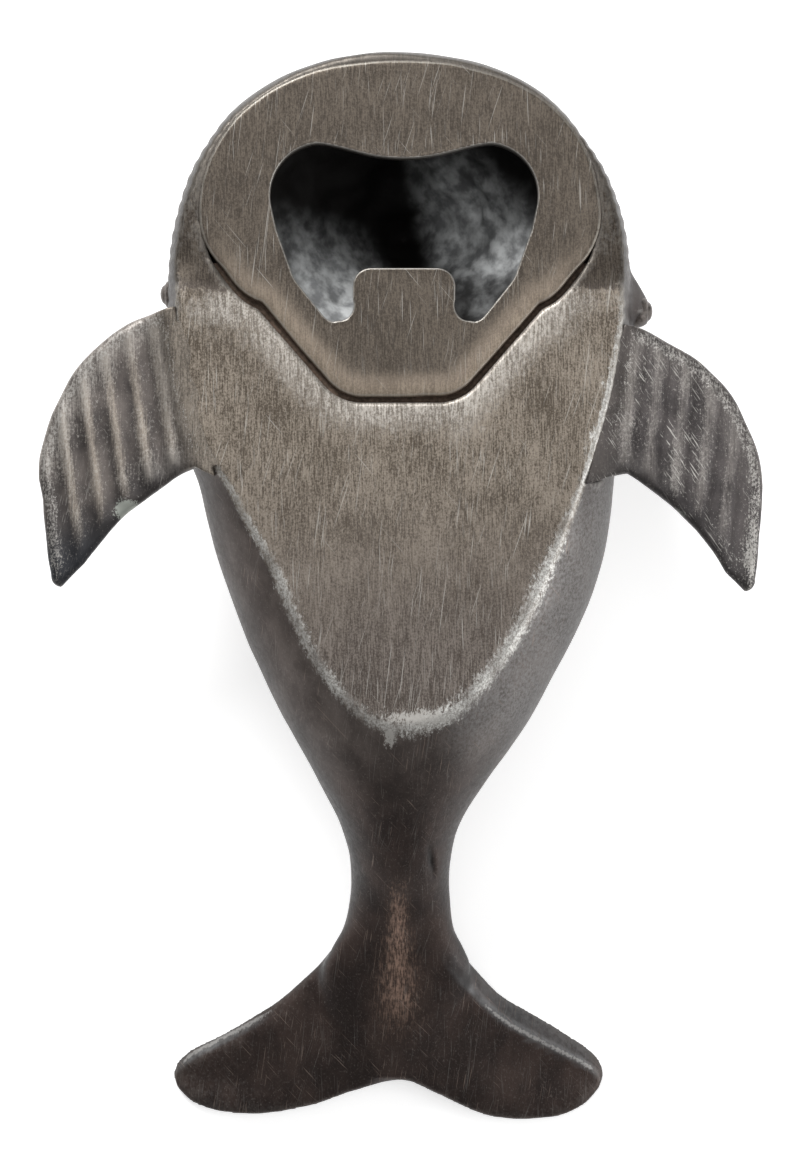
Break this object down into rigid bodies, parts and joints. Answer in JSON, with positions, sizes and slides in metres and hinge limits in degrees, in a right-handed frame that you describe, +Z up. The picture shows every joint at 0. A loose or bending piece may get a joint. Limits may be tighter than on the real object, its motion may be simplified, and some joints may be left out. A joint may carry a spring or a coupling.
{
  "type": "bottle opener",
  "caption": "Cast-metal whale bottle opener lying belly up: hollow head behind an inset opener plate, ground flat belly, spread fins and raised tail flukes.",
  "frame": {"origin": "under the middle of the outer box, on the surface that the whale's back lies on", "axes": "+Y from the flukes to the head, +Z up out of the ground flat belly, +X across the fins"},
  "size_m": [0.0814, 0.1233, 0.03],
  "materials": {
    "casting": "dark brown-grey patina over bright cast metal, brushed on the belly",
    "plate": "brushed along its length under a brown-grey patina, bright at its edges",
    "fins": "dark patina with bright worn rays and edges",
    "eyes": "dark patina, rubbed smooth",
    "solder": "dull, stained brown, bright where it was rubbed"
  },
  "bodies": {
    "root": {"whale_body": "casting", "opener_plate": "plate", "left_fin": "fins", "right_fin": "fins", "left_eye": "eyes", "right_eye": "eyes", "plate_solder_seam": "solder", "left_fin_solder": "solder", "right_fin_solder": "solder"}
  },
  "joints": []
}
